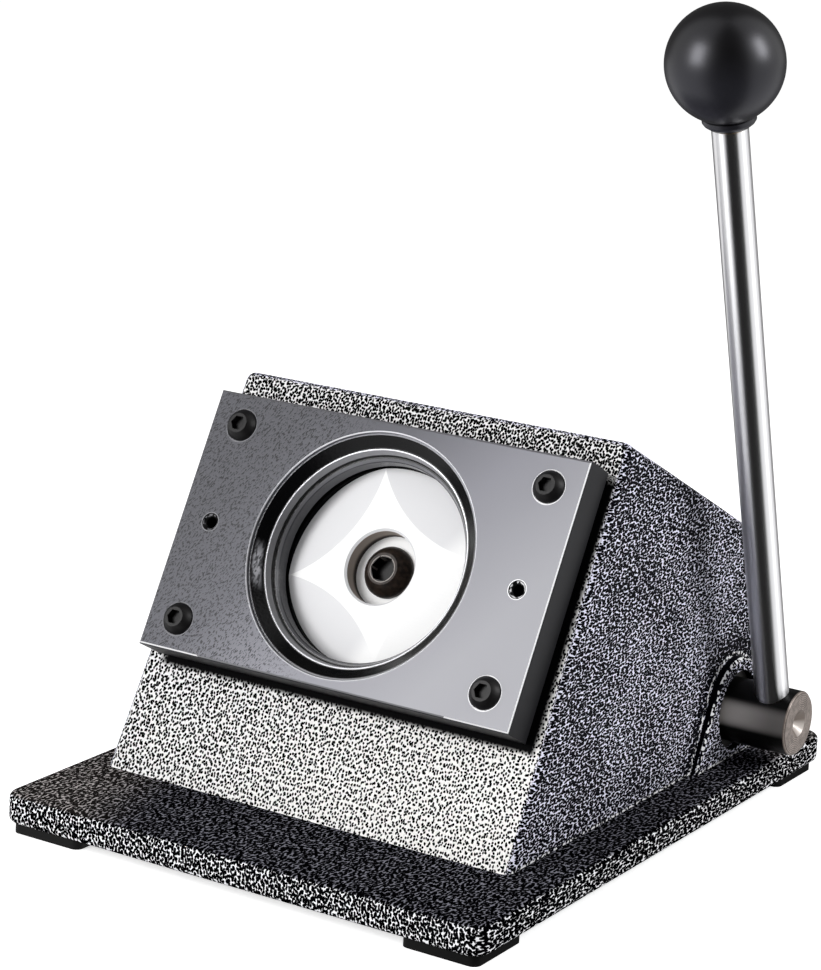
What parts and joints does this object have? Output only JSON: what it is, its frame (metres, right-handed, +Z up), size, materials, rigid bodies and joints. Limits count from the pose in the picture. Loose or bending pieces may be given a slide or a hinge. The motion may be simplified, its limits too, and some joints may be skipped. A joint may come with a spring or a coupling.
{
  "type": "button badge maker",
  "caption": "Bench punch that cuts round pictures for button badges: a side lever turns a cam that drives a round punch through a die plate on a sloping face.",
  "frame": {"origin": "middle of the whole cutter's outline seen from above with the lever up, on the surface that the feet stand on", "axes": "+X to the right of a user who faces the die, +Y to the back, +Z up"},
  "size_m": [0.223, 0.2614, 0.3092],
  "materials": {
    "hammertone": "hammertone enamel, silver on black",
    "foot_rubber": "moulded",
    "zinc": "zinc plated",
    "black_oxide": "black oxide",
    "browned_steel": "turned, browned",
    "die_steel": "hardened, dark grey",
    "ground_steel": "ground bright",
    "machined_steel": "machined",
    "spring_steel": "oil tempered",
    "bronze": "machined bearing bronze",
    "chrome": "polished chrome",
    "black_plastic": "satin black",
    "brass": "machined"
  },
  "bodies": {
    "housing": {"base_plate": "hammertone", "rubber_feet": "foot_rubber", "foot_screws": "zinc", "base_screws": "black_oxide", "body_casting": "hammertone", "die_plate": "die_steel", "die_screws": "black_oxide", "plate_spacers": "zinc", "ram_bush": "bronze", "guide_screw": "black_oxide", "shaft_bush_right": "bronze", "shaft_bush_left": "bronze", "spring_washer": "zinc", "return_spring": "spring_steel"},
    "lever": {"cross_shaft": "browned_steel", "thrust_washer": "zinc", "shaft_clip": "spring_steel", "stop_pin": "machined_steel", "cam": "machined_steel", "cam_key": "machined_steel", "cam_screw": "black_oxide", "lever_rod": "chrome", "ball_knob": "black_plastic", "knob_insert": "brass"},
    "ram": {"ram": "machined_steel", "punch": "ground_steel", "punch_screw": "browned_steel", "spring_collar": "machined_steel", "collar_clip": "spring_steel", "roller_pin": "machined_steel", "roller_clips": "spring_steel"},
    "roller": {"cam_roller": "machined_steel"}
  },
  "joints": [
    {"name": "lever_hinge", "type": "hinge", "parent": "housing", "child": "lever", "pos_m": [-0.01389, 0.0818, 0.03352], "axis": [1, 0, 0], "range_deg": [0, 70]},
    {"name": "ram_slide", "type": "slide", "parent": "housing", "child": "ram", "axis": [0, -0.8796, 0.4756], "range_m": [0, 0.008], "stiffness_N_per_m": 8500, "springref_m": -0.012, "deforming": ["return_spring"]},
    {"name": "roller_spin", "type": "hinge", "parent": "ram", "child": "roller", "pos_m": [-0.01389, 0.05541, 0.04779], "axis": [1, 0, 0], "continuous": true}
  ],
  "couplings": [
    {"joint": "ram_slide", "follows": "lever_hinge", "m_per_rad": 0.006547}
  ]
}
